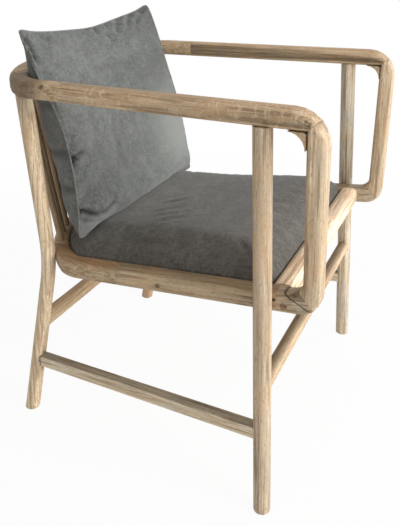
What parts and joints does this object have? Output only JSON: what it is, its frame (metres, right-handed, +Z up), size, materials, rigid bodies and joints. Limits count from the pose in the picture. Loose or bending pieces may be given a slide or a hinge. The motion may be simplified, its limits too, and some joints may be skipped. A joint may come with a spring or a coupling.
{
  "type": "upholstered armchair",
  "caption": "Low armchair with a pale wooden frame: hooped arms that run into a bowed top rail, round legs, a spindle back, a fitted seat pad and a loose back cushion.",
  "frame": {"origin": "on the floor, under the middle of the chair's overall box", "axes": "+Z up, +X to the chair's own left as someone sits in it, +Y towards the back, so the front faces -Y"},
  "size_m": [0.5884, 0.6647, 0.7587],
  "materials": {
    "limed_oak": "limed, pale and greyish, thin matt oil",
    "dark_wood_plug": "end grain, oiled",
    "dark_pin": "dark stained dowel, matt",
    "steel_screw": "zinc plated",
    "birch_plywood": "bare",
    "seat_linen": "warm dark grey washed linen",
    "foam": "upholstery foam",
    "cushion_linen": "mid grey washed linen",
    "cushion_filling": "soft fibre filling"
  },
  "bodies": {
    "chair_frame": {"arm_gusset_left": "limed_oak", "arm_gusset_right": "limed_oak", "arm_post_left": "limed_oak", "arm_post_right": "limed_oak", "arm_rail_left": "limed_oak", "arm_rail_right": "limed_oak", "back_leg_left": "limed_oak", "back_leg_right": "limed_oak", "back_leg_screw_left": "steel_screw", "back_leg_screw_right": "steel_screw", "back_spindle_1": "limed_oak", "back_spindle_2": "limed_oak", "back_spindle_3": "limed_oak", "back_spindle_4": "limed_oak", "back_spindle_5": "limed_oak", "back_spindle_6": "limed_oak", "back_spindle_7": "limed_oak", "back_spindle_8": "limed_oak", "back_spindle_9": "limed_oak", "back_spindle_10": "limed_oak", "back_spindle_11": "limed_oak", "back_stretcher": "limed_oak", "crest_corner_left": "limed_oak", "crest_corner_right": "limed_oak", "crest_rail": "limed_oak", "foot_corner_left": "limed_oak", "foot_corner_right": "limed_oak", "front_leg_left": "limed_oak", "front_leg_right": "limed_oak", "front_rail_screw_left": "steel_screw", "front_rail_screw_right": "steel_screw", "front_stretcher": "limed_oak", "gusset_pin_left": "dark_pin", "gusset_pin_right": "dark_pin", "leg_dowel_left": "limed_oak", "leg_dowel_right": "limed_oak", "panel_screw_left_1": "steel_screw", "panel_screw_left_2": "steel_screw", "panel_screw_right_1": "steel_screw", "panel_screw_right_2": "steel_screw", "screw_plug_left": "dark_wood_plug", "screw_plug_right": "dark_wood_plug", "seat_back_rail": "limed_oak", "seat_cleat_left": "limed_oak", "seat_cleat_right": "limed_oak", "seat_corner_left": "limed_oak", "seat_corner_right": "limed_oak", "seat_cover": "seat_linen", "seat_foam": "foam", "seat_front_rail": "limed_oak", "seat_panel": "birch_plywood", "seat_side_rail_left": "limed_oak", "seat_side_rail_right": "limed_oak", "side_stretcher_left": "limed_oak", "side_stretcher_right": "limed_oak"},
    "back_cushion": {"back_cushion_cover": "cushion_linen", "back_cushion_filling": "cushion_filling"}
  },
  "joints": [
    {"name": "cushion_lift", "type": "slide", "parent": "chair_frame", "child": "back_cushion", "axis": [0, 0, 1], "range_m": [0, 0.45]}
  ]
}
